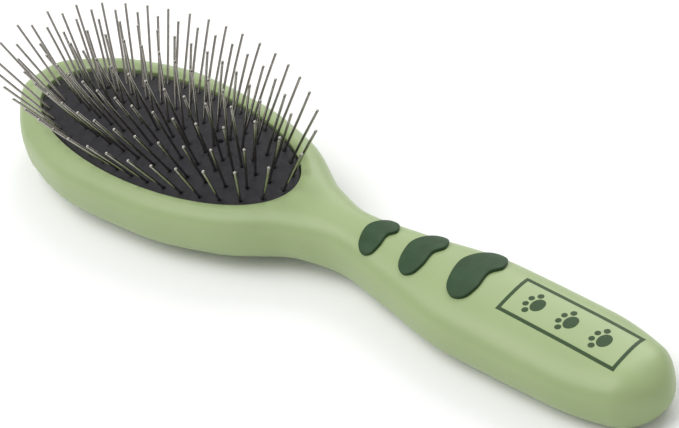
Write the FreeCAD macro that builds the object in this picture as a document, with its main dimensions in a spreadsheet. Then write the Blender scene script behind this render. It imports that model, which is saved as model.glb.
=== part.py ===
import FreeCAD, Part
import math
import os

# Wire-pin grooming brush, in millimetres, lying on its back.
# +X runs along the handle to its end, +Y is sideways and +Z is the way the pins point.
# The origin is at the middle of the brush's box, on the surface that it lies on.

# Driving dimensions. The sheet of the document holds them under these names.
DIMENSIONS = {
    "overall_length": 226.6,
    "end_rounding": 9.0,
    "top_squareness": 4.0,        # superellipse exponent of the head's upper half
    "handle_squareness": 2.75,    # the same on the handle
    "back_squareness": 2.6,       # the same on the lower half, all along
    "squareness_from": -20.0,     # the head's section turns into the handle's between these
    "squareness_to": 10.0,
    "wall": 2.4,                  # thickness of the plastic round the handle and behind the head
    "handle_core_from": 8.0,
    "handle_core_to": 106.0,
    "pad_x": -54.1,               # middle of the oval well
    "rim_level": 17.5,
    "rim_half_length": 48.3,
    "rim_half_width": 19.6,
    "rim_dish": 3.0,              # width of the sloping lip round the well
    "well_from": 9.0,             # the form that cuts the well starts just below the parting
    "forms_top": 30.0,            # upright forms end above everything that they cut
    "head_core_inset": 3.0,       # the tray in the back shell, inside the well
    "groove_low": 12.7,
    "groove_high": 14.6,
    "groove_depth": 1.8,
    "pad_gap": 0.15,              # cushion wall to well wall
    "pad_edge_level": 16.2,       # where the dome meets the cushion's upright edge
    "dome_rise": 4.2,
    "rubber": 1.6,
    "bead_reach": 1.5,            # how far the cushion's bead reaches into the groove
    "bead_clearance": 0.1,
    "cloth_gap": 0.05,
    "cloth": 0.5,
    "cloth_inset": 2.4,
    "wire_radius": 0.35,
    "tip_radius": 0.45,
    "pin_reach": 20.3,            # length of wire above the rubber
    "pin_root": 3.7,              # length of wire and head below it
    "pin_head_radius": 1.0,
    "pin_head": 0.5,
    "hole_radius": 0.4,
    "hole_margin": 1.5,           # the hole's form is longer than the hole by this at each end
    "dimple_radius": 1.3,
    "dimple_depth": 0.5,
    "dimple_above": 0.4,          # the dimple's cone is this much taller than it is deep
    "vent_radius": 0.7,
    "ring_inset": 2.6,            # outermost ring of pins, from the rim
    "ring_step": 5.0,
    "grip_pocket": 1.2,
    "grip_proud": 0.8,
    "grip_form_margin": 10.0,     # the forms that shape the inserts reach past them by this
    "grip_form_from": 10.0,       # and stand on the handle's middle height
}

# Stations of the body: name, x, half width, height of the top, height of the back.
# Where the back is below zero it is cut flat at zero, and the brush lies on those flats.
STATIONS = [
    ("nose", -113.3, 0.0, 19.2, -0.3),
    ("nose_bow", -107.4, 9.0, 19.2, -0.3),
    ("head_front", -89.6, 21.3, 19.2, -0.3),
    ("head_widest", -66.0, 26.2, 19.2, -0.3),
    ("head_rear", -42.5, 25.1, 19.1, -0.3),
    ("shoulder", -18.8, 19.9, 19.0, 0.8),
    ("neck_start", 2.0, 10.2, 18.5, 2.8),
    ("neck", 15.8, 7.1, 17.7, 1.6),
    ("handle_start", 33.0, 9.7, 17.0, 0.4),
    ("palm", 59.4, 13.8, 16.8, -0.3),
    ("heel", 88.0, 13.6, 15.8, -0.3),
    ("heel_end", 105.2, 10.7, 15.0, -0.3),
    ("handle_end", 113.3, 0.0, 15.0, -0.3),
]

# Soft grip inserts: name, foremost x, length along the handle, middle y, half span.
GRIPS = [
    ("grip_insert_front", 21.6, 7.6, -0.3, 6.0),
    ("grip_insert_middle", 35.0, 8.4, 0.8, 7.6),
    ("grip_insert_rear", 50.0, 10.2, 2.2, 9.0),
]

# Bean outline of a grip insert, as shares of its length and of its half span.
BEAN = [
    (0.00, 0.05), (0.10, 0.58), (0.38, 0.98), (0.76, 0.96), (1.00, 0.56),
    (0.87, 0.15), (0.98, -0.42), (0.93, -0.86), (0.62, -1.00), (0.26, -0.70),
]

# Rings of pins from the outside in: number of pins, sine of their lean.
RINGS = [(36, 0.53), (30, 0.45), (26, 0.32), (20, 0.16)]
SPLAY = 0.08              # extra lengthwise lean, which grows towards the ends of the oval
SPLAY_POWER = 6

PIN_ROWS = 17             # crosswise rows, each one sprung group
HOLE_BATCHES = 6          # the holes are cut in this many groups of pins far apart
VENTS = [(-35.4, 3.6), (-83.4, 5.0)]
SECTIONS = 36             # cross sections of each shell
CORE_SECTIONS = 14        # cross sections of the forms inside it
SECTION_POINTS = 24       # points on each of them
ARC_STEPS = 3600          # steps used to measure along an oval

doc = FreeCAD.newDocument("pin_brush")
sheet = doc.addObject("Spreadsheet::Sheet", "Dimensions")


def fill_sheet():
    """Writes every driving dimension and station into the sheet, with its alias."""
    rows = list(DIMENSIONS.items())
    for name, x, half_width, top, back in STATIONS:
        rows += [(name + "_place", x), (name + "_half_width", half_width)]
        rows += [(name + "_top", top), (name + "_back", back)]
    for number, (alias, value) in enumerate(rows, start=1):
        sheet.set("A%d" % number, alias)
        sheet.set("B%d" % number, str(value))
        sheet.setAlias("B%d" % number, alias)
    doc.recompute()


def size(alias):
    """A dimension as the sheet holds it."""
    return float(sheet.get(alias))


def smooth_curve(xs, ys):
    """A curve through the points that never overshoots them (monotone cubic)."""
    count = len(xs)
    gaps = [xs[i + 1] - xs[i] for i in range(count - 1)]
    slopes = [(ys[i + 1] - ys[i]) / gaps[i] for i in range(count - 1)]
    tangents = [slopes[0]]
    for i in range(1, count - 1):
        before, after = slopes[i - 1], slopes[i]
        if before * after <= 0:
            tangents.append(0.0)
        else:
            first = 2 * gaps[i] + gaps[i - 1]
            second = gaps[i] + 2 * gaps[i - 1]
            tangents.append((first + second) / (first / before + second / after))
    tangents.append(slopes[-1])

    def value(x):
        i = max(k for k in range(count - 1) if k == 0 or xs[k] <= x)
        t = (x - xs[i]) / gaps[i]
        rise = ys[i + 1] - ys[i]
        start, finish = gaps[i] * tangents[i], gaps[i] * tangents[i + 1]
        bend = start + finish - 2 * rise
        return ys[i] + t * (start + t * (3 * rise - 2 * start - finish + t * bend))

    return value


class Body:
    """The brush body's outer form: width, top and back along X, and its sections."""

    def __init__(self):
        names = [station[0] for station in STATIONS]
        xs = [size(name + "_place") for name in names]
        squares = [size(name + "_half_width") ** 2 for name in names]
        self.width_squared = smooth_curve(xs, squares)
        self.top = smooth_curve(xs, [size(name + "_top") for name in names])
        self.back = smooth_curve(xs, [size(name + "_back") for name in names])
        self.half_length = size("overall_length") / 2

    def outline(self, x, grow, start, finish):
        """Points of the section at x, moved outwards by grow, between two shares of a turn."""
        half_width = math.sqrt(max(self.width_squared(x), 0.01)) + grow
        from_end = min(self.half_length - abs(x), size("end_rounding")) / size("end_rounding")
        rounding = math.sqrt(1 - (1 - from_end) ** 2)
        half_height = (self.top(x) - self.back(x)) / 2 * rounding + grow
        from_x, to_x = size("squareness_from"), size("squareness_to")
        share = min(max((x - from_x) / (to_x - from_x), 0.0), 1.0)
        share = share * share * (3 - 2 * share)
        head, handle = size("top_squareness"), size("handle_squareness")
        upper = head + (handle - head) * share
        points = []
        for step in range(SECTION_POINTS + 1):
            turn = 2 * math.pi * (start + (finish - start) * step / SECTION_POINTS)
            across, up = math.cos(turn), math.sin(turn)
            power = 2 / (upper if up > 0 else size("back_squareness"))
            y = math.copysign(abs(across) ** power, across) * half_width
            z = math.copysign(abs(up) ** power, up) * half_height + self.middle(x)
            points.append(FreeCAD.Vector(x, y, z))
        return points

    def middle(self, x):
        """Height of the widest part of the section, where the two shells meet."""
        return (self.top(x) + self.back(x)) / 2

    def ring(self, x, grow):
        """The whole section at x as one closed curve, which starts at the back."""
        curve = Part.BSplineCurve()
        curve.interpolate(Points=self.outline(x, grow, 0.75, 1.75)[:-1], PeriodicFlag=True)
        return Part.Wire(curve.toShape())

    def half(self, x, grow, start, finish):
        """Half of the section at x, closed by a straight line across the parting."""
        points = self.outline(x, grow, start, finish)
        points[0].z = points[-1].z = self.middle(x)
        curve = Part.BSplineCurve()
        curve.interpolate(Points=points)
        return Part.Wire([curve.toShape(), Part.makeLine(points[-1], points[0])])

    def loft(self, make_section, start, finish, sections):
        """Solid through the sections from start to finish, closer together at both ends."""
        centre, half = (start + finish) / 2, (finish - start) / 2
        places = [centre - half * math.cos(math.pi * i / sections) for i in range(sections + 1)]
        return Part.makeLoft([make_section(x) for x in places], True, False)


def feature(name, shape):
    """A document object that holds a shape worked out from the sheet's values."""
    item = doc.addObject("Part::Feature", name)
    item.Label = name
    item.Shape = shape
    return item


def oval_prism(name, inset, low, high):
    """Upright prism on the well's oval; inset, low and high are expressions on the sheet."""
    oval = doc.addObject("Part::Ellipse", name + "_oval")
    oval.setExpression("MajorRadius", "Dimensions.rim_half_length - (%s)" % inset)
    oval.setExpression("MinorRadius", "Dimensions.rim_half_width - (%s)" % inset)
    oval.setExpression("Placement.Base.x", "Dimensions.pad_x")
    oval.setExpression("Placement.Base.z", low)
    prism = doc.addObject("Part::Extrusion", name)
    prism.Base = oval
    prism.DirMode = "Custom"
    prism.Dir = FreeCAD.Vector(0, 0, 1)
    prism.Solid = True
    prism.setExpression("LengthFwd", "(%s) - (%s)" % (high, low))
    return prism


def common(name, base, tool):
    """What two objects share."""
    item = doc.addObject("Part::Common", name)
    item.Base = base
    item.Tool = tool
    item.Refine = False
    item.Label = name
    return item


def cut(name, base, tools):
    """The base less each tool in turn; the last object has the name."""
    for number, tool in enumerate(tools, start=1):
        item = doc.addObject("Part::Cut", name if number == len(tools) else name + "_step")
        item.Base = base
        item.Tool = tool
        item.Refine = False
        base = item
    base.Label = name
    return base


def fuse(name, shapes):
    """Several objects joined into one solid."""
    item = doc.addObject("Part::MultiFuse", name)
    item.Shapes = shapes
    item.Label = name
    return item


def dome_solid(name, depth):
    """Ellipsoid whose cap is the cushion's dome, lowered by depth all round."""
    item = doc.addObject("Part::Ellipsoid", name)
    item.Radius1 = dome_height - depth
    item.Radius2 = size("rim_half_length") / DOME_SHARE - depth
    item.Radius3 = size("rim_half_width") / DOME_SHARE - depth
    item.Angle1 = -90
    item.Angle2 = 90
    item.Angle3 = 360
    item.Placement.Base = FreeCAD.Vector(size("pad_x"), 0, dome_centre)
    return item


def dome_level(x, y):
    """Height of the cushion's upper face at x from the pad's middle, and y."""
    across = x * DOME_SHARE / size("rim_half_length")
    along = y * DOME_SHARE / size("rim_half_width")
    return dome_centre + dome_height * math.sqrt(1 - across ** 2 - along ** 2)


def ring_places(count, half_length, half_width):
    """Points spaced evenly along an oval, the first at its handle end."""
    steps = [2 * math.pi * i / ARC_STEPS for i in range(ARC_STEPS + 1)]
    points = [(half_length * math.cos(a), half_width * math.sin(a)) for a in steps]
    travelled = [0.0]
    for before, after in zip(points, points[1:]):
        travelled.append(travelled[-1] + math.dist(before, after))
    places = []
    i = 0
    for number in range(count):
        while travelled[i] < travelled[-1] * number / count:
            i += 1
        places.append(points[i])
    return places


def pin_layout():
    """Every pin's root on the rubber, from the pad's middle, and the way it points."""
    pins = []
    for ring, (count, lean) in enumerate(RINGS):
        inset = size("ring_inset") + ring * size("ring_step")
        half_length = size("rim_half_length") - inset
        half_width = size("rim_half_width") - inset
        for x, y in ring_places(count, half_length, half_width):
            along, across = x / half_length, y / half_width
            out = lean / math.hypot(along, across)
            splay = math.copysign(SPLAY, x) * abs(x / size("rim_half_length")) ** SPLAY_POWER
            lean_x, lean_y = out * along + splay, out * across
            lean_z = math.sqrt(1 - lean_x ** 2 - lean_y ** 2)
            root = FreeCAD.Vector(x, y, dome_level(x, y))
            pins.append((root, FreeCAD.Vector(lean_x, lean_y, lean_z)))
    return pins


def placed(shape, root, direction, below):
    """Copy of an upright shape, turned to direction, starting below the root."""
    copy = shape.copy()
    start = root + FreeCAD.Vector(size("pad_x"), 0, 0) - direction * below
    turn = FreeCAD.Rotation(FreeCAD.Vector(0, 0, 1), direction)
    copy.Placement = FreeCAD.Placement(start, turn)
    return copy


def wire_pin():
    """One upright pin: flat head, straight wire and rounded tip, standing on its head."""
    head = doc.addObject("Part::Cylinder", "pin_head_disc")
    head.setExpression("Radius", "Dimensions.pin_head_radius")
    head.setExpression("Height", "Dimensions.pin_head")
    wire = doc.addObject("Part::Cylinder", "pin_wire")
    wire.setExpression("Radius", "Dimensions.wire_radius")
    wire.setExpression("Height", "Dimensions.pin_reach + Dimensions.pin_root - Dimensions.tip_radius")
    tip = doc.addObject("Part::Sphere", "pin_tip")
    tip.setExpression("Radius", "Dimensions.tip_radius")
    tip.setExpression(
        "Placement.Base.z",
        "Dimensions.pin_reach + Dimensions.pin_root - Dimensions.tip_radius",
    )
    return fuse("wire_pin", [head, wire, tip])


def hole_tools(pins):
    """The holes that the pins pass through, each with its dimple at the rubber's face."""
    depth = size("pin_root") + size("hole_margin")
    hole = Part.makeCylinder(size("hole_radius"), depth + size("hole_margin"))
    mouth = Part.makeCone(0.0, size("dimple_radius"), size("dimple_depth") + size("dimple_above"))
    mouth.translate(FreeCAD.Vector(0, 0, depth - size("dimple_depth")))
    tool = hole.fuse(mouth)
    return Part.makeCompound([placed(tool, root, way, depth) for root, way in pins])


def build_shells(body):
    """The two welded halves of the green body, hollow, with the well in the head."""
    tip = body.half_length - END_CLEARANCE
    front_half = feature("front_half", body.loft(
        lambda x: body.half(x, 0.0, 0.0, 0.5), -tip, tip, SECTIONS))
    back_half = feature("back_half", body.loft(
        lambda x: body.half(x, 0.0, 0.5, 1.0), -tip, tip, SECTIONS))
    handle_core = feature("handle_core", body.loft(
        lambda x: body.ring(x, -size("wall")),
        size("handle_core_from"), size("handle_core_to"), CORE_SECTIONS))
    head_core = oval_prism("head_core", "Dimensions.head_core_inset",
                           "Dimensions.wall", "Dimensions.rim_level")
    well = oval_prism("well", "0", "Dimensions.well_from", "Dimensions.forms_top")
    groove = oval_prism("groove", "-Dimensions.groove_depth",
                        "Dimensions.groove_low", "Dimensions.groove_high")
    lip = feature("lip", lip_tool())
    pockets, inserts = build_grips(body)
    front = cut("front_shell", front_half, [well, lip, groove, handle_core] + pockets)
    below = doc.addObject("Part::Box", "below")
    below.setExpression("Length", "Dimensions.overall_length")
    below.setExpression("Width", "Dimensions.overall_length")
    below.setExpression("Height", "Dimensions.wall")
    below.setExpression("Placement.Base.x", "-Dimensions.overall_length / 2")
    below.setExpression("Placement.Base.y", "-Dimensions.overall_length / 2")
    below.setExpression("Placement.Base.z", "-Dimensions.wall")
    back = cut("back_shell", back_half, [below, handle_core, head_core])
    return [front, back] + inserts


def lip_tool():
    """Shallow oval cone that slopes the head's top face down to the rim of the well."""
    rise = size("nose_top") - size("rim_level")
    wires = []
    for times in (0, 2):
        out = size("rim_dish") * times
        level = size("rim_level") + rise * times
        oval = Part.Ellipse(FreeCAD.Vector(size("pad_x"), 0, level),
                            size("rim_half_length") + out, size("rim_half_width") + out)
        wires.append(Part.Wire(oval.toShape()))
    return Part.makeLoft(wires, True, True)


def build_grips(body):
    """Pockets for the three soft inserts, and the inserts, standing a little proud."""
    start = GRIPS[0][1] - size("grip_form_margin")
    finish = GRIPS[-1][1] + GRIPS[-1][2] + size("grip_form_margin")
    floor = feature("pocket_floor", body.loft(
        lambda x: body.ring(x, -size("grip_pocket")), start, finish, CORE_SECTIONS))
    proud = feature("insert_face", body.loft(
        lambda x: body.ring(x, size("grip_proud")), start, finish, CORE_SECTIONS))
    pockets, inserts = [], []
    for name, front, length, middle, span in GRIPS:
        corner = FreeCAD.Vector(front, middle, size("grip_form_from"))
        points = [corner + FreeCAD.Vector(length * u, span * v, 0) for u, v in BEAN]
        curve = Part.BSplineCurve()
        curve.interpolate(Points=points, PeriodicFlag=True)
        face = Part.Face(Part.Wire(curve.toShape()))
        rise = FreeCAD.Vector(0, 0, size("forms_top") - size("grip_form_from"))
        prism = feature(name + "_prism", face.extrude(rise))
        pocket = cut(name + "_pocket", prism, [floor])
        pockets.append(pocket)
        inserts.append(common(name, pocket, proud))
    return pockets, inserts


def build_cushion(pins):
    """The domed rubber cushion with its edge bead, and the cloth behind it."""
    holes = [feature("pin_holes_%d" % (batch + 1), hole_tools(pins[batch::HOLE_BATCHES]))
             for batch in range(HOLE_BATCHES)]
    low = "Dimensions.groove_low + Dimensions.bead_clearance"
    bead_top = "Dimensions.groove_high - Dimensions.bead_clearance"
    below = "Dimensions.well_from"
    high = "Dimensions.forms_top"
    inner_inset = "Dimensions.pad_gap + Dimensions.rubber"
    dome_prism = oval_prism("dome_prism", "Dimensions.pad_gap", low, high)
    plug = common("dome_plug", dome_prism, dome_solid("dome_face", 0.0))
    hollow_prism = oval_prism("hollow_prism", inner_inset, below, high)
    hollow = common("dome_hollow", hollow_prism, dome_solid("dome_underside", size("rubber")))
    shell = cut("dome_shell", plug, [hollow])
    bead_prism = oval_prism("bead_prism", "-Dimensions.bead_reach", low, bead_top)
    bead = cut("bead", bead_prism, [oval_prism("bead_hole", inner_inset, below, high)])
    blank = fuse("cushion_blank", [shell, bead])
    vents = [vent_hole(number, x, y) for number, (x, y) in enumerate(VENTS, start=1)]
    cushion = cut("cushion", blank, holes + vents)
    cloth_top = size("rubber") + size("cloth_gap")
    cloth_prism = oval_prism("cloth_prism", "Dimensions.cloth_inset", below, high)
    cloth_plug = common("cloth_plug", cloth_prism, dome_solid("cloth_face", cloth_top))
    cloth_underside = dome_solid("cloth_underside", cloth_top + size("cloth"))
    cloth = cut("backing_cloth", cloth_plug, [cloth_underside] + holes)
    return [cushion, cloth]


def vent_hole(number, x, y):
    """Upright air hole through the cushion."""
    item = doc.addObject("Part::Cylinder", "vent_%d" % number)
    item.setExpression("Radius", "Dimensions.vent_radius")
    item.setExpression("Height", "Dimensions.forms_top - Dimensions.well_from")
    item.Placement.Base = FreeCAD.Vector(x, y, size("well_from"))
    return item


def build_pin_rows(pins):
    """The pins, sorted into crosswise rows, each row a node of separate solids."""
    pin = wire_pin()
    doc.recompute()
    reach = size("rim_half_length") - size("ring_inset")
    pitch = 2 * reach / (PIN_ROWS - 1)
    rows = [[] for _ in range(PIN_ROWS)]
    for root, way in pins:
        rows[round((root.x + reach) / pitch)].append((root, way))
    nodes = []
    for number, row in enumerate(rows, start=1):
        name = "pin_row_%02d" % number
        solids = [placed(pin.Shape, root, way, size("pin_root")) for root, way in row]
        nodes.append(feature(name, Part.makeCompound(solids)))
        level = sum(root.z for root, way in row) / len(row) - size("rubber") / 2
        place = size("pad_x") - reach + pitch * (number - 1)
        print("%s pivots at x %.3f z %.3f, %d pins" % (name, place, level, len(row)))
    return nodes


def write_nodes(nodes):
    """Checks every object of the document, then writes each node's STEP file."""
    doc.recompute()
    for item in doc.Objects:
        if "Invalid" in item.State or "Error" in item.State:
            raise RuntimeError("%s failed: %s" % (item.Name, item.State))
    os.makedirs("parts", exist_ok=True)
    for node in nodes:
        shape = node.Shape
        if shape.isNull() or not shape.isValid() or not shape.Solids:
            raise RuntimeError("%s has no valid solid" % node.Label)
        print("%s: %d solids, %.1f mm3" % (node.Label, len(shape.Solids), shape.Volume))
        shape.exportStep("parts/%s.step" % node.Label)


END_CLEARANCE = 0.03      # the loft's first section stands this far inside each end
DOME_SHARE = 0.6          # the cushion's cap is this share of its ellipsoid's half lengths

fill_sheet()
dome_height = size("dome_rise") / (1 - math.sqrt(1 - DOME_SHARE ** 2))
dome_centre = size("pad_edge_level") + size("dome_rise") - dome_height
brush_body = Body()
all_pins = pin_layout()
pin_rows = build_pin_rows(all_pins)
write_nodes(build_shells(brush_body) + build_cushion(all_pins) + pin_rows)
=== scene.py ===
import math
import random

import bmesh
import bpy
import numpy as np
from mathutils import Matrix, Vector


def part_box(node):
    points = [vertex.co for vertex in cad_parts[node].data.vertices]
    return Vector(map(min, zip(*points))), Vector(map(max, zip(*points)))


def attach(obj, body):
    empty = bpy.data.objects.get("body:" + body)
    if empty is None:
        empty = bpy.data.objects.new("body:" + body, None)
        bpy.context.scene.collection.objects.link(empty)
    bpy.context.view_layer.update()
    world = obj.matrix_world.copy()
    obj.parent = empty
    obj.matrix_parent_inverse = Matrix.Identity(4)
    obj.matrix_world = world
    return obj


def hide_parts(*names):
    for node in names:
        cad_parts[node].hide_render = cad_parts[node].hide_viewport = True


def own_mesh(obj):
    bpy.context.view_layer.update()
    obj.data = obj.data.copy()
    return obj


# Looks of a wire-pin grooming brush, in metres, in the frame of its CAD model:
# +X along the handle, +Z the way the pins point, lying on its back on z = 0.

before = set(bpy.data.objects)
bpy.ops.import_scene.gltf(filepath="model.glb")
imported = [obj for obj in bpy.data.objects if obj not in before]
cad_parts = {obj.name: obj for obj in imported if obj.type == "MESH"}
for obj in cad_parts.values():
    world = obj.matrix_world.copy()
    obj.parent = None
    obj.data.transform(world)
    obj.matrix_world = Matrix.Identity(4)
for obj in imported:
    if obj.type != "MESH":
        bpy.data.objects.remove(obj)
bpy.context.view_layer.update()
random.seed(7)

MM = 0.001

# Stations of the body in mm: x, half width, height of the top, height of the back.
STATIONS = [
    (-113.3, 0.0, 19.2, -0.3),
    (-107.4, 9.0, 19.2, -0.3),
    (-89.6, 21.3, 19.2, -0.3),
    (-66.0, 26.2, 19.2, -0.3),
    (-42.5, 25.1, 19.1, -0.3),
    (-18.8, 19.9, 19.0, 0.8),
    (2.0, 10.2, 18.5, 2.8),
    (15.8, 7.1, 17.7, 1.6),
    (33.0, 9.7, 17.0, 0.4),
    (59.4, 13.8, 16.8, -0.3),
    (88.0, 13.6, 15.8, -0.3),
    (105.2, 10.7, 15.0, -0.3),
    (113.3, 0.0, 15.0, -0.3),
]
HALF_LENGTH = 113.3 * MM
END_ROUNDING = 9.0 * MM
TINY = 1e-9                   # keeps a share from being divided by a width of nothing
HEAD_POWER = 4.0              # superellipse exponents of the section
HANDLE_POWER = 2.75
BACK_POWER = 2.6
POWER_FROM, POWER_TO = -20 * MM, 10 * MM

# The oval well, measured from the CAD cushion, whose bead reaches under the rim.
BEAD_REACH = 1.5 * MM
cushion_low, cushion_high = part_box("cushion")
PAD_X = (cushion_low.x + cushion_high.x) / 2
RIM_LENGTH = (cushion_high.x - cushion_low.x) / 2 - BEAD_REACH
RIM_WIDTH = (cushion_high.y - cushion_low.y) / 2 - BEAD_REACH
RIM_LEVEL = 17.5 * MM
LIP_WIDTH = 3.0 * MM          # sloping lip round the well
LIP_RISE = 1.7 * MM
LIP_BLEND = 1.2 * MM          # softness of the ridge where the lip meets the top
RIM_FILLET = 0.55 * MM
WELL_START = 10.5 * MM
NECK_JOIN = 6 * MM            # the head's rays end here and the handle's grid starts
RAY_ANGLE = 0.5               # the rays to the neck leave the rim within this angle of +X, in radians
RAY_CROWDING = 3              # the higher, the closer the rings lie near the outline
FILLET_STEPS = 5
FINE_STEPS = 4000             # points of a curve before it is spaced evenly
WELD_DISTANCE = 2e-6
SHORTEST_EDGE = 1e-6

# The cushion's dome is the cap of an ellipsoid.
DOME_SHARE = 0.6
DOME_HEIGHT = 21.0 * MM
DOME_CENTRE = -0.6 * MM
PAD_GAP = 0.25 * MM
RUBBER = 1.6 * MM
BEAD_LEVEL = 12.8 * MM
DIMPLE_RADIUS = 0.6 * MM
DIMPLE_DEPTH = 0.75 * MM
EDGE_RISE = 0.6 * MM          # the rubber swells this much where the well squeezes its edge
VENTS = [(18.7 * MM, 3.6 * MM), (-29.3 * MM, 5.0 * MM)]
VENT_RADIUS = 0.75 * MM
VENT_DEPTH = 1.5 * MM
VENT_STEEPNESS = 14
STEEPEST = 50                 # keeps the exponential of the air holes within range
SWELL_FROM = 0.75             # shares of the cushion's radius
EDGE_FROM = 0.98
UNDERSIDE_FROM = 0.95
BEAD_FROM = 0.955
EDGE_ROUND = 0.35 * MM

# The cloth behind the rubber.
CLOTH_INSET = 2.4 * MM
CLOTH_GAP = 0.1 * MM
CLOTH_THICKNESS = 0.4 * MM
CLOTH_LENGTH = RIM_LENGTH - CLOTH_INSET
CLOTH_WIDTH = RIM_WIDTH - CLOTH_INSET

# Wire pins.
PIN_ROOT = 3.7 * MM           # from a pin's foot to where it passes the rubber
PIN_RADIUS = 0.35 * MM
TIP_RADIUS = 0.41 * MM
TIP_NECK = 2.2                # the wire ends this many tip radii below the tip
TIP_START = -0.7              # angle on the tip's ball where the wire meets it
PIN_HEAD_RADIUS = 1.0 * MM
PIN_HEAD_FLAT = 0.9           # share of the head's radius inside its rounded edge
PIN_HEAD_THICKNESS = 0.5 * MM
PIN_HEAD_EDGE = 0.12 * MM
PIN_BOW = 0.16 * MM
PIN_STRAY = 0.22 * MM
PIN_HELD = 0.17               # share of the pin's length that the rubber and cloth keep straight

# Soft grip inserts in mm: foremost x, length, middle y, half span; and their bean outline.
GRIPS = {
    "grip_insert_front": (21.6, 7.6, -0.3, 6.0),
    "grip_insert_middle": (35.0, 8.4, 0.8, 7.6),
    "grip_insert_rear": (50.0, 10.2, 2.2, 9.0),
}
BEAN = [
    (0.00, 0.05), (0.10, 0.58), (0.38, 0.98), (0.76, 0.96), (1.00, 0.56),
    (0.87, 0.15), (0.98, -0.42), (0.93, -0.86), (0.62, -1.00), (0.26, -0.70),
]
GRIP_PROUD = 0.8 * MM
GRIP_BEVEL = 0.42 * MM
GRIP_CROWN = 0.15 * MM
GRIP_DEPTH = 0.5 * MM         # how far the insert reaches below the handle's surface
GRIP_POINTS = 120
SLOPE_STEP = 0.02 * MM

# Printed frame on the handle, in mm: its four corners, and the paw prints inside it.
PRINT_CORNERS = [(67.3, 7.6), (101.8, 7.3), (102.9, -4.2), (68.5, -3.8)]
PRINT_LINE = 0.48 * MM        # half width of the printed line
INK = 0.04 * MM
PAWS = [(75.2, 1.8), (85.2, 1.7), (95.2, 1.5)]
PAW_PAD = (0.5, 0.0, 1.7, 2.1)      # middle along and across the handle, and half sizes
PAW_TOES = [(-1.0, 2.75, 0.8), (-2.3, 1.05, 0.75), (-2.3, -1.05, 0.75), (-1.0, -2.75, 0.8)]

# Darker and lighter end of each material's colour.
SAGE = ((0.272, 0.352, 0.160), (0.292, 0.374, 0.174))
DARK_GREEN = ((0.020, 0.050, 0.018), (0.028, 0.064, 0.026))
BLACK = ((0.013, 0.0125, 0.0145), (0.022, 0.021, 0.025))
COTTON = ((0.3, 0.28, 0.24), (0.58, 0.54, 0.47))
STEEL = ((0.30, 0.285, 0.26), (0.42, 0.40, 0.37))
INK_GREEN = ((0.022, 0.05, 0.016), (0.034, 0.07, 0.024))
PAPER = ((0.86, 0.86, 0.86), (0.88, 0.88, 0.88))
WEAVE = 700
WEAVE_DISTORTION = 0.4

# The camera: degrees, and its place in mm.
CAMERA_AZIMUTH = 54.723
CAMERA_ELEVATION = 36.755
CAMERA_ROLL = -15.013
CAMERA_PLACE = (393.296, -269.446, 366.411)
CAMERA_LENS = 127.07
CAMERA_SENSOR = 36
CAMERA_NEAREST = 0.01

# The studio, in metres and watts: name, place, size and power of each light.
LIGHTS = [
    ("key", (-0.4, -0.5, 1.2), 1.2, 13),
    ("back", (-0.3, 0.9, 0.8), 0.8, 7),
]
LIGHT_TARGET = (-0.02, 0, 0)
SURROUND = 0.62               # strength of the even light from all round
FLOOR_SIZE = 6


def smooth_curve(xs, ys):
    """A curve through the points that never overshoots them (monotone cubic)."""
    xs, ys = np.array(xs), np.array(ys)
    gaps = np.diff(xs)
    slopes = np.diff(ys) / gaps
    before, after = slopes[:-1], slopes[1:]
    first = 2 * gaps[1:] + gaps[:-1]
    second = gaps[1:] + 2 * gaps[:-1]
    rising = before * after > 0
    shares = np.where(rising, first / np.where(rising, before, 1) + second / np.where(rising, after, 1), 1)
    inner = np.where(rising, (first + second) / shares, 0)
    tangents = np.concatenate([slopes[:1], inner, slopes[-1:]])

    def value(x):
        x = np.asarray(x, float)
        i = np.clip(np.searchsorted(xs, x, side="right") - 1, 0, len(gaps) - 1)
        t = (x - xs[i]) / gaps[i]
        rise = ys[i + 1] - ys[i]
        start, finish = gaps[i] * tangents[i], gaps[i] * tangents[i + 1]
        bend = start + finish - 2 * rise
        return ys[i] + t * (start + t * (3 * rise - 2 * start - finish + t * bend))

    return value


stations = np.array(STATIONS) * MM
width_squared = smooth_curve(stations[:, 0], stations[:, 1] ** 2)
top_line = smooth_curve(stations[:, 0], stations[:, 2])
back_line = smooth_curve(stations[:, 0], stations[:, 3])


def half_width(x):
    """Half width of the body at x."""
    return np.sqrt(np.maximum(width_squared(x), 0))


def middle(x):
    """Height of the parting between the two shells at x."""
    return (top_line(x) + back_line(x)) / 2


def half_height(x):
    """Half height of the section at x, which falls to nothing at the two ends."""
    from_end = np.clip((HALF_LENGTH - np.abs(x)) / END_ROUNDING, 0, 1)
    return (top_line(x) - back_line(x)) / 2 * np.sqrt(1 - (1 - from_end) ** 2)


def top_power(x):
    """Exponent of the section's upper half at x."""
    share = np.clip((x - POWER_FROM) / (POWER_TO - POWER_FROM), 0, 1)
    share = share * share * (3 - 2 * share)
    return HEAD_POWER + (HANDLE_POWER - HEAD_POWER) * share


def top_level(x, y):
    """Height of the body's upper surface, without the well."""
    power = top_power(x)
    share = np.clip(np.abs(y) / np.maximum(half_width(x), TINY), 0, 1)
    return middle(x) + half_height(x) * (1 - share ** power) ** (1 / power)


def soft_min(a, b, reach):
    """The lower of two heights, rounded where they cross."""
    mix = np.clip(0.5 + (b - a) / (2 * reach), 0, 1)
    return b + (a - b) * mix - reach * mix * (1 - mix) / 2


def head_level(x, y):
    """Height of the head's face, with the lip that slopes down to the rim of the well."""
    along, across = (x - PAD_X) / RIM_LENGTH, y / RIM_WIDTH
    reach = np.hypot(along, across)
    steepness = np.hypot(along / RIM_LENGTH, across / RIM_WIDTH) / reach
    outside = (reach - 1) / steepness
    lip = RIM_LEVEL + LIP_RISE / LIP_WIDTH * outside
    return soft_min(top_level(x, y), lip, LIP_BLEND)


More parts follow.
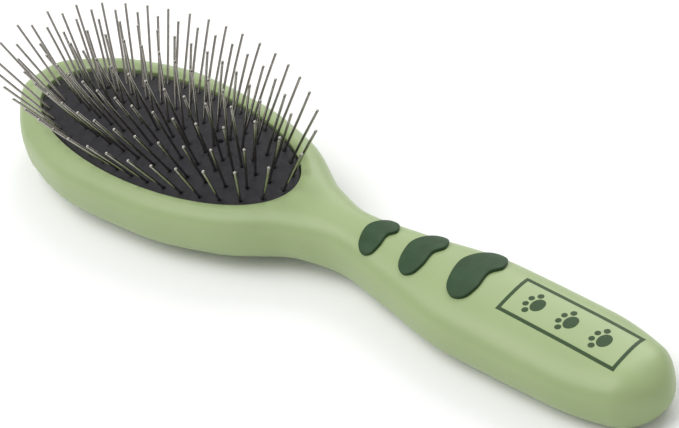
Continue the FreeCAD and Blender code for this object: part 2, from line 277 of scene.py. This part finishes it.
def on_body(x, y, lift):
    """Points on the handle's upper surface, raised by lift along its normal."""
    step = SLOPE_STEP
    slope_x = (top_level(x + step, y) - top_level(x - step, y)) / (2 * step)
    slope_y = (top_level(x, y + step) - top_level(x, y - step)) / (2 * step)
    long = np.sqrt(1 + slope_x ** 2 + slope_y ** 2)
    return np.stack([x - slope_x * lift / long, y - slope_y * lift / long,
                     top_level(x, y) + lift / long], -1)


class Surface:
    """Grids of points that become one mesh, welded where they meet."""

    def __init__(self):
        self.points = []
        self.faces = []

    def grid(self, points, closed=False):
        """Adds a grid of rows by columns; closed joins each row's last point to its first."""
        rows, columns = points.shape[:2]
        start = len(self.points)
        self.points += points.reshape(-1, 3).tolist()
        for i in range(rows - 1):
            for j in range(columns if closed else columns - 1):
                a = start + i * columns
                k = (j + 1) % columns
                self.faces.append((a + j, a + k, a + columns + k, a + columns + j))

    def build(self, name, sharp=40):
        """The mesh object, smooth except where faces turn by more than sharp degrees."""
        mesh = bpy.data.meshes.new(name)
        bm = bmesh.new()
        verts = [bm.verts.new(p) for p in self.points]
        for face in self.faces:
            bm.faces.new([verts[i] for i in face])
        bmesh.ops.remove_doubles(bm, verts=bm.verts, dist=WELD_DISTANCE)
        bmesh.ops.dissolve_degenerate(bm, edges=bm.edges, dist=SHORTEST_EDGE)
        bmesh.ops.recalc_face_normals(bm, faces=bm.faces)
        bm.to_mesh(mesh)
        bm.free()
        mesh.shade_smooth()
        mesh.set_sharp_from_angle(angle=math.radians(sharp))
        piece = bpy.data.objects.new(name, mesh)
        bpy.context.scene.collection.objects.link(piece)
        return piece


def stack(x, y, z):
    """Points from three arrays of one shape."""
    return np.stack(np.broadcast_arrays(x, y, z), -1)


def even_along(points, count):
    """count + 1 points spaced evenly along a polyline."""
    steps = np.linalg.norm(np.diff(points, axis=0), axis=1)
    travelled = np.concatenate([[0], np.cumsum(steps)])
    places = np.linspace(0, travelled[-1], count + 1)
    return np.stack([np.interp(places, travelled, points[:, k]) for k in range(points.shape[1])], -1)


def section_columns(x, count):
    """y of the columns across the handle at x, from +Y to -Y, even along the section."""
    turn = np.linspace(0, math.pi, count + 1)
    across = np.cos(turn)
    power = 2 / top_power(x)[..., None]
    return np.sign(across) * np.abs(across) ** power * half_width(x)[..., None]


def rim_points(angle):
    """Points of the well's oval rim at these angles."""
    return np.stack([PAD_X + RIM_LENGTH * np.cos(angle), RIM_WIDTH * np.sin(angle)], -1)


def build_front():
    """The face of the body: rays from the well's rim to the outline, then the handle."""
    across, sides, rays, rows = 40, 330, 44, 150
    surface = Surface()
    # The outline of the head, from the neck along +Y to the nose, and the same mirrored.
    x = NECK_JOIN - (NECK_JOIN + HALF_LENGTH) * (1 - np.cos(np.linspace(0, math.pi, FINE_STEPS))) / 2
    side = even_along(np.stack([x, half_width(x)], -1), sides)
    side[0] = NECK_JOIN, half_width(NECK_JOIN)
    side[-1] = -HALF_LENGTH, 0
    neck = section_columns(np.array([NECK_JOIN]), across)[0]
    outline = np.concatenate([side, (side * (1, -1))[-2::-1],
                              np.stack([np.full(across - 1, NECK_JOIN), neck[-2:0:-1]], -1)])
    # The matching points of the rim, evenly spaced from where the rays leave the neck.
    rim_side = even_along(rim_points(np.linspace(RAY_ANGLE, math.pi, FINE_STEPS)), sides)
    rim_neck = rim_points(np.linspace(-RAY_ANGLE, RAY_ANGLE, across + 1)[1:-1])
    rim = np.concatenate([rim_side, (rim_side * (1, -1))[-2::-1], rim_neck])
    reach = outline - rim
    length = np.linalg.norm(reach, axis=1, keepdims=True)
    edge = rim + reach / length * RIM_FILLET
    crest = head_level(edge[:, 0], edge[:, 1])
    grid = [stack(rim[:, 0], rim[:, 1], WELL_START), stack(rim[:, 0], rim[:, 1], crest - RIM_FILLET)]
    for turn in np.linspace(0, math.pi / 2, FILLET_STEPS + 1)[1:]:
        place = rim + reach / length * RIM_FILLET * (1 - math.cos(turn))
        grid.append(stack(place[:, 0], place[:, 1], crest - RIM_FILLET * (1 - math.sin(turn))))
    for share in 1 - (1 - np.linspace(0, 1, rays + 1)[1:]) ** RAY_CROWDING:
        place = edge + (outline - edge) * share
        level = head_level(place[:, 0], place[:, 1])
        if share == 1:
            place = outline
            level = np.where(np.arange(len(outline)) <= 2 * sides, middle(outline[:, 0]),
                             top_level(outline[:, 0], outline[:, 1]))
        grid.append(stack(place[:, 0], place[:, 1], level))
    surface.grid(np.array(grid), closed=True)
    under = [stack(outline[:, 0], outline[:, 1], middle(outline[:, 0])),
             stack(rim[:, 0], rim[:, 1], WELL_START)]
    surface.grid(np.array(under), closed=True)
    # The handle: columns across it, the same at the join as the rays' ends.
    share = (1 - np.cos(np.linspace(math.pi / 6, math.pi, rows))) / 2
    share = (share - share[0]) / (1 - share[0])
    x = NECK_JOIN + (HALF_LENGTH - NECK_JOIN) * share
    y = section_columns(x, across)
    x = np.repeat(x[:, None], across + 1, 1)
    z = top_level(x, y)
    z[:, 0] = z[:, -1] = middle(x[:, 0])
    surface.grid(stack(x, y, z))
    surface.grid(stack(x, y, middle(x)))
    return surface.build("body_front")


def build_back():
    """The back of the body, with the flats that it lies on, closed along the parting."""
    sections, across = 260, 64
    x = -HALF_LENGTH * np.cos(np.linspace(0, math.pi, sections + 1))
    turn = np.linspace(0, math.pi, across + 1)
    y = np.sign(np.cos(turn)) * np.abs(np.cos(turn)) ** (2 / BACK_POWER)
    z = np.abs(np.sin(turn)) ** (2 / BACK_POWER)
    x = np.repeat(x[:, None], across + 1, 1)
    points = stack(x, half_width(x) * y, np.maximum(middle(x) - half_height(x) * z, 0))
    surface = Surface()
    surface.grid(points)
    surface.grid(points[:, [0, -1]])
    return surface.build("body_back")


def dome_level(x, y):
    """Height of the cushion's dome at x from the pad's middle, and y."""
    share = (x / RIM_LENGTH * DOME_SHARE) ** 2 + (y / RIM_WIDTH * DOME_SHARE) ** 2
    return DOME_CENTRE + DOME_HEIGHT * np.sqrt(1 - share)


def cad_pins(node):
    """Foot and tip of every pin of a CAD row, from its separate solids."""
    bm = bmesh.new()
    bm.from_mesh(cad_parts[node].data)
    bmesh.ops.remove_doubles(bm, verts=bm.verts, dist=SHORTEST_EDGE)
    left = set(bm.verts)
    pins = []
    while left:
        queue = [left.pop()]
        island = []
        while queue:
            vert = queue.pop()
            island.append(tuple(vert.co))
            near = {edge.other_vert(vert) for edge in vert.link_edges} & left
            left -= near
            queue += near
        points = np.array(island)
        centre = points.mean(0)
        way = np.linalg.svd(points - centre)[2][0]
        way *= math.copysign(1, way[2])
        places = (points - centre) @ way
        pins.append((centre + way * places.min(), centre + way * places.max()))
    bm.free()
    return sorted(pins, key=lambda pin: tuple(pin[0]))


def pin_roots(pins):
    """Where the pins meet the dome, from the pad's middle."""
    roots = []
    for foot, tip in pins:
        way = (tip - foot) / np.linalg.norm(tip - foot)
        root = foot + way * PIN_ROOT
        roots.append((root[0] - PAD_X, root[1]))
    return roots


def build_cushion(pins):
    """The rubber dome, with a dimple round every pin and two air holes."""
    rings, under_rings, segments = 150, 15, 560
    length, width = RIM_LENGTH - PAD_GAP, RIM_WIDTH - PAD_GAP
    angle = np.linspace(0, 2 * math.pi, segments, endpoint=False)
    share = np.linspace(0, 1, rings + 1)[:, None]
    x, y = length * share * np.cos(angle), width * share * np.sin(angle)
    z = dome_level(x, y)
    for root_x, root_y in pin_roots(pins):
        near = np.hypot(x - root_x, y - root_y) / DIMPLE_RADIUS
        z -= DIMPLE_DEPTH * np.exp(-near ** 2)
    for vent_x, vent_y in VENTS:
        near = np.hypot(x - vent_x, y - vent_y) / VENT_RADIUS
        z -= VENT_DEPTH / (1 + np.exp(np.minimum((near - 1) * VENT_STEEPNESS, STEEPEST)))
    swell = np.clip((share - SWELL_FROM) / (1 - SWELL_FROM), 0, 1)
    z += EDGE_RISE * swell * swell * (3 - 2 * swell)
    z -= EDGE_ROUND * np.clip((share - EDGE_FROM) / (1 - EDGE_FROM), 0, 1) ** 2
    x = x + PAD_X
    under = np.linspace(UNDERSIDE_FROM, 0, under_rings + 1)[:, None]
    under_x, under_y = length * under * np.cos(angle), width * under * np.sin(angle)
    edge_x, edge_y = PAD_X + length * np.cos(angle), width * np.sin(angle)
    inner_x, inner_y = PAD_X + BEAD_FROM * length * np.cos(angle), BEAD_FROM * width * np.sin(angle)
    wall = np.array([stack(edge_x, edge_y, z[-1]), stack(edge_x, edge_y, BEAD_LEVEL),
                     stack(inner_x, inner_y, BEAD_LEVEL),
                     stack(under_x[0] + PAD_X, under_y[0], dome_level(under_x[0], under_y[0]) - RUBBER)])
    surface = Surface()
    surface.grid(stack(x, y, z), closed=True)
    surface.grid(wall, closed=True)
    surface.grid(stack(under_x + PAD_X, under_y, dome_level(under_x, under_y) - RUBBER), closed=True)
    return surface.build("rubber_cushion", sharp=60)


def build_cloth():
    """The oval cloth stretched behind the rubber."""
    rings, segments = 40, 160
    angle = np.linspace(0, 2 * math.pi, segments, endpoint=False)
    share = np.linspace(0, 1, rings)[:, None]
    x, y = CLOTH_LENGTH * share * np.cos(angle), CLOTH_WIDTH * share * np.sin(angle)
    level = dome_level(x, y) - RUBBER - CLOTH_GAP
    top = stack(x + PAD_X, y, level)
    bottom = stack(x + PAD_X, y, level - CLOTH_THICKNESS)
    surface = Surface()
    surface.grid(top, closed=True)
    surface.grid(bottom, closed=True)
    surface.grid(np.array([top[-1], bottom[-1]]), closed=True)
    return surface.build("woven_backing")


def pin_profile(length):
    """Radius and place along the pin: flat head, straight wire, rounded tip."""
    flat = PIN_HEAD_RADIUS * PIN_HEAD_FLAT
    profile = [
        (0.0, 0.0),
        (flat, 0.0),
        (PIN_HEAD_RADIUS, PIN_HEAD_EDGE),
        (PIN_HEAD_RADIUS, PIN_HEAD_THICKNESS - PIN_HEAD_EDGE),
        (flat, PIN_HEAD_THICKNESS),
        (PIN_RADIUS, PIN_HEAD_THICKNESS),
    ]
    profile += [(PIN_RADIUS, length * share) for share in (0.2, 0.4, 0.6, 0.8)]
    profile += [(PIN_RADIUS, length - TIP_NECK * TIP_RADIUS)]
    for turn in np.linspace(TIP_START, math.pi / 2, 9):
        profile.append((TIP_RADIUS * math.cos(turn), length - TIP_RADIUS + TIP_RADIUS * math.sin(turn)))
    return profile


def build_pin_row(name, pins):
    """One crosswise row of wire pins, each leaning a little by itself."""
    segments = 14
    surface = Surface()
    angle = np.linspace(0, 2 * math.pi, segments, endpoint=False)
    for foot, tip in pins:
        length = np.linalg.norm(tip - foot)
        way = (tip - foot) / length
        side = np.cross(way, (0, 1, 0))
        side /= np.linalg.norm(side)
        other = np.cross(way, side)
        bow = random.uniform(-1, 1) * PIN_BOW
        stray = (random.uniform(-1, 1) * side + random.uniform(-1, 1) * other) * PIN_STRAY
        rings = []
        for radius, place in pin_profile(length):
            share = max(place / length - PIN_HELD, 0) / (1 - PIN_HELD)
            centre = foot + way * place + stray * share + side * bow * math.sin(math.pi * share)
            around = np.cos(angle)[:, None] * side + np.sin(angle)[:, None] * other
            rings.append(centre + around * radius)
        surface.grid(np.array(rings), closed=True)
    return surface.build(name + "_wires", sharp=50)


def bean_outline(front, length, centre, span, count):
    """Smooth closed outline of a grip insert, through its points (Catmull-Rom)."""
    corners = np.array([(front + length * u, centre + span * v) for u, v in BEAN]) * MM
    steps = count // len(corners)
    t = np.linspace(0, 1, steps, endpoint=False)[:, None]
    outline = []
    for i in range(len(corners)):
        a, b, c, d = (corners[(i + k) % len(corners)] for k in (-1, 0, 1, 2))
        outline.append(b + t * (c - a) / 2 + t ** 2 * (a - 2.5 * b + 2 * c - d / 2)
                       + t ** 3 * (-a / 2 + 1.5 * b - 1.5 * c + d / 2))
    return np.concatenate(outline)


def build_grip(name, place):
    """A bean-shaped insert that follows the handle's surface, with a rounded edge."""
    crown_rows, bevel_rows = 14, 6
    outline = bean_outline(*place, GRIP_POINTS)
    centre = outline.mean(0)
    reach = np.linalg.norm(outline - centre, axis=1)
    inward = (centre - outline) / reach[:, None]
    rows = []
    for share in np.linspace(0, 1, crown_rows + 1):
        spot = centre + (outline + inward * GRIP_BEVEL - centre) * share
        lift = GRIP_PROUD + GRIP_CROWN * (1 - share ** 2)
        rows.append(on_body(spot[:, 0], spot[:, 1], lift))
    for turn in np.linspace(0, math.pi / 2, bevel_rows + 1)[1:]:
        spot = outline + inward * GRIP_BEVEL * (1 - math.sin(turn))
        lift = GRIP_PROUD - GRIP_BEVEL * (1 - math.cos(turn))
        rows.append(on_body(spot[:, 0], spot[:, 1], lift))
    rows.append(on_body(outline[:, 0], outline[:, 1], -GRIP_DEPTH))
    inside = np.tile(centre, (len(outline), 1))
    rows.append(on_body(inside[:, 0], inside[:, 1], -GRIP_DEPTH))
    surface = Surface()
    surface.grid(np.array(rows), closed=True)
    return surface.build(name.replace("insert", "pad"), sharp=60)


def build_print():
    """The printed frame and paw marks, a skin of ink on the handle."""
    line_points = 60
    surface = Surface()
    corners = np.array(PRINT_CORNERS) * MM
    for start, finish in zip(corners, np.roll(corners, -1, 0)):
        way = (finish - start) / np.linalg.norm(finish - start)
        side = np.array((-way[1], way[0])) * PRINT_LINE
        line = np.linspace(start - way * PRINT_LINE, finish + way * PRINT_LINE, line_points)
        edges = []
        for sign, lift in ((-1, -INK), (-1, INK), (0, INK), (1, INK), (1, -INK)):
            spot = line + side * sign
            edges.append(on_body(spot[:, 0], spot[:, 1], lift))
        surface.grid(np.swapaxes(np.array(edges), 0, 1), closed=True)
    for paw_x, paw_y in PAWS:
        dots = [PAW_PAD] + [(x, y, radius, radius) for x, y, radius in PAW_TOES]
        for dot_x, dot_y, length, width in dots:
            print_dot(surface, (paw_x + dot_x, paw_y + dot_y), (length, width))
    return surface.build("printed_frame")


def print_dot(surface, place, size):
    """Adds one oval of ink to the surface; place and size in mm."""
    segments = 24
    angle = np.linspace(0, 2 * math.pi, segments, endpoint=False)
    rows = []
    for share, lift in ((0, INK), (0.5, INK), (1, INK), (1.02, -INK), (0, -INK)):
        x = (place[0] + size[0] * share * np.cos(angle)) * MM
        y = (place[1] + size[1] * share * np.sin(angle)) * MM
        rows.append(on_body(x, y, lift))
    surface.grid(np.array(rows), closed=True)


class Material:
    """A node material with its Principled shader and helpers for procedural detail."""

    def __init__(self, name, **values):
        self.material = bpy.data.materials.new(name)
        self.material.use_nodes = True
        self.nodes = self.material.node_tree.nodes
        self.links = self.material.node_tree.links
        self.shader = self.nodes["Principled BSDF"]
        for socket, value in values.items():
            self.shader.inputs[socket.replace("_", " ")].default_value = value
        self.place = self.nodes.new("ShaderNodeTexCoord").outputs["Object"]

    def noise(self, scale, detail=3.0, stretch=(1, 1, 1)):
        """Noise at the object's own scale, in cycles a metre."""
        mapping = self.nodes.new("ShaderNodeMapping")
        mapping.inputs["Scale"].default_value = stretch
        self.links.new(self.place, mapping.inputs["Vector"])
        node = self.nodes.new("ShaderNodeTexNoise")
        node.inputs["Scale"].default_value = scale
        node.inputs["Detail"].default_value = detail
        self.links.new(mapping.outputs["Vector"], node.inputs["Vector"])
        return node.outputs["Fac"]

    def ramp(self, source, low, high, start=0.3, finish=0.7):
        """Colour that goes from low to high as the source goes from start to finish."""
        node = self.nodes.new("ShaderNodeValToRGB")
        node.color_ramp.elements[0].position = start
        node.color_ramp.elements[1].position = finish
        node.color_ramp.elements[0].color = (*low, 1)
        node.color_ramp.elements[1].color = (*high, 1)
        self.links.new(source, node.inputs["Fac"])
        return node.outputs["Color"]

    def roughness(self, source, low, high):
        """Roughness that varies with the source."""
        node = self.nodes.new("ShaderNodeMapRange")
        node.inputs["To Min"].default_value = low
        node.inputs["To Max"].default_value = high
        self.links.new(source, node.inputs["Value"])
        self.links.new(node.outputs["Result"], self.shader.inputs["Roughness"])

    def colour(self, source):
        """Base colour from a node's output."""
        self.links.new(source, self.shader.inputs["Base Color"])

    def bump(self, source, height, strength=1.0):
        """Fine relief of the given height in metres."""
        node = self.nodes.new("ShaderNodeBump")
        node.inputs["Distance"].default_value = height
        node.inputs["Strength"].default_value = strength
        self.links.new(source, node.inputs["Height"])
        self.links.new(node.outputs["Normal"], self.shader.inputs["Normal"])


def green_plastic():
    """Satin moulded plastic in light sage green, with a fine spark-eroded grain."""
    made = Material("sage_plastic", Roughness=0.4, Specular_IOR_Level=0.5)
    made.colour(made.ramp(made.noise(60), *SAGE))
    made.roughness(made.noise(900, 4), 0.33, 0.45)
    made.bump(made.noise(4200, 2), 0.00002, 0.35)
    return made.material


def grip_rubber():
    """Dark green soft rubber with a matt, slightly dusty face."""
    made = Material("grip_rubber", Roughness=0.55, Specular_IOR_Level=0.22)
    made.colour(made.ramp(made.noise(300, 5), *DARK_GREEN))
    made.roughness(made.noise(1500, 3), 0.45, 0.62)
    made.bump(made.noise(3500, 3), 0.00004, 0.6)
    return made.material


def cushion_rubber():
    """Black rubber, matt, with dust and a fine moulded grain."""
    made = Material("cushion_rubber", Roughness=0.6, Specular_IOR_Level=0.25)
    made.colour(made.ramp(made.noise(500, 6), *BLACK))
    made.roughness(made.noise(1200, 4), 0.5, 0.72)
    made.bump(made.noise(3800, 4), 0.00005, 0.6)
    return made.material


def woven_cloth():
    """Plain-weave cotton."""
    made = Material("woven_cloth", Roughness=0.9)
    waves = []
    for direction in ("X", "Y"):
        wave = made.nodes.new("ShaderNodeTexWave")
        wave.bands_direction = direction
        wave.inputs["Scale"].default_value = WEAVE
        wave.inputs["Distortion"].default_value = WEAVE_DISTORTION
        made.links.new(made.place, wave.inputs["Vector"])
        waves.append(wave.outputs["Fac"])
    weave = made.nodes.new("ShaderNodeMath")
    weave.operation = "MULTIPLY"
    made.links.new(waves[0], weave.inputs[0])
    made.links.new(waves[1], weave.inputs[1])
    made.colour(made.ramp(weave.outputs[0], *COTTON, 0.0, 1.0))
    made.bump(weave.outputs[0], 0.0001, 0.8)
    return made.material


def pin_steel():
    """Polished steel wire with faint drawing marks along it."""
    made = Material("pin_steel", Metallic=1.0, Roughness=0.2)
    made.colour(made.ramp(made.noise(700, 4), *STEEL))
    made.roughness(made.noise(2500, 3, (1, 1, 0.08)), 0.12, 0.28)
    return made.material


def printing_ink():
    """Dark green pad-printing ink, a little uneven."""
    made = Material("printing_ink", Roughness=0.45, Specular_IOR_Level=0.2)
    made.colour(made.ramp(made.noise(2500, 4), *INK_GREEN))
    made.roughness(made.noise(900, 3), 0.38, 0.5)
    return made.material


def dress(piece, body, material, slot, *nodes):
    """Gives a piece its material, the body that it rides on and the CAD nodes it stands for."""
    piece.data.materials.clear()
    piece.data.materials.append(material)
    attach(piece, body)
    if nodes:
        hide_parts(*nodes)
    return piece


def build_object():
    """Every visible piece of the brush."""
    green, rubber, steel = green_plastic(), grip_rubber(), pin_steel()
    dress(build_front(), "handle", green, "body_plastic", "front_shell")
    dress(build_back(), "handle", green, "body_plastic", "back_shell")
    for name, place in GRIPS.items():
        dress(build_grip(name, place), "handle", rubber, "grip_rubber", name)
    dress(build_print(), "handle", printing_ink(), "grip_rubber")
    rows = sorted(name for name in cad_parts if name.startswith("pin_row_"))
    pins = {name: cad_pins(name) for name in rows}
    for name in rows:
        dress(build_pin_row(name, pins[name]), name, steel, "pin_steel", name)
    cushion = build_cushion([pin for name in rows for pin in pins[name]])
    dress(cushion, "handle", cushion_rubber(), "cushion_rubber", "cushion")
    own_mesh(cushion)
    cloth = dress(build_cloth(), "cushion_back", woven_cloth(), "backing_cloth", "backing_cloth")


def build_camera():
    """A long-lens view from above the handle's side, turned a little."""
    azimuth, elevation = math.radians(CAMERA_AZIMUTH), math.radians(CAMERA_ELEVATION)
    roll = math.radians(CAMERA_ROLL)
    back = Vector((math.sin(azimuth) * math.cos(elevation), -math.cos(azimuth) * math.cos(elevation),
                   math.sin(elevation)))
    right = Vector((math.cos(azimuth), math.sin(azimuth), 0))
    up = back.cross(right)
    across = right * math.cos(roll) + up * math.sin(roll)
    upward = up * math.cos(roll) - right * math.sin(roll)
    data = bpy.data.cameras.new("camera")
    data.lens = CAMERA_LENS
    data.sensor_width = CAMERA_SENSOR
    data.clip_start = CAMERA_NEAREST
    camera = bpy.data.objects.new("camera", data)
    turn = Matrix((across, upward, back)).transposed().to_4x4()
    camera.matrix_world = Matrix.Translation(Vector(CAMERA_PLACE) * MM) @ turn
    bpy.context.scene.collection.objects.link(camera)
    bpy.context.scene.camera = camera


def build_light(name, place, target, size, power):
    """A soft square light at place, turned to the target."""
    data = bpy.data.lights.new(name, "AREA")
    data.size = size
    data.energy = power
    light = bpy.data.objects.new(name, data)
    light.location = place
    light.rotation_euler = (Vector(target) - Vector(place)).to_track_quat("-Z", "Y").to_euler()
    bpy.context.scene.collection.objects.link(light)


def build_stage():
    """A pale floor and soft white light from all round, stronger from above."""
    bpy.ops.mesh.primitive_plane_add(size=FLOOR_SIZE)
    floor = bpy.context.object
    floor.name = "floor"
    made = Material("floor_paper", Roughness=0.8, Specular_IOR_Level=0.1)
    made.colour(made.ramp(made.noise(3), *PAPER))
    floor.data.materials.append(made.material)
    world = bpy.data.worlds.new("studio")
    world.use_nodes = True
    world.node_tree.nodes["Background"].inputs["Color"].default_value = (1, 1, 1, 1)
    world.node_tree.nodes["Background"].inputs["Strength"].default_value = SURROUND
    bpy.context.scene.world = world
    bpy.context.scene.view_settings.view_transform = "Standard"
    for name, place, size, power in LIGHTS:
        build_light(name, place, LIGHT_TARGET, size, power)


build_object()
build_stage()
build_camera()
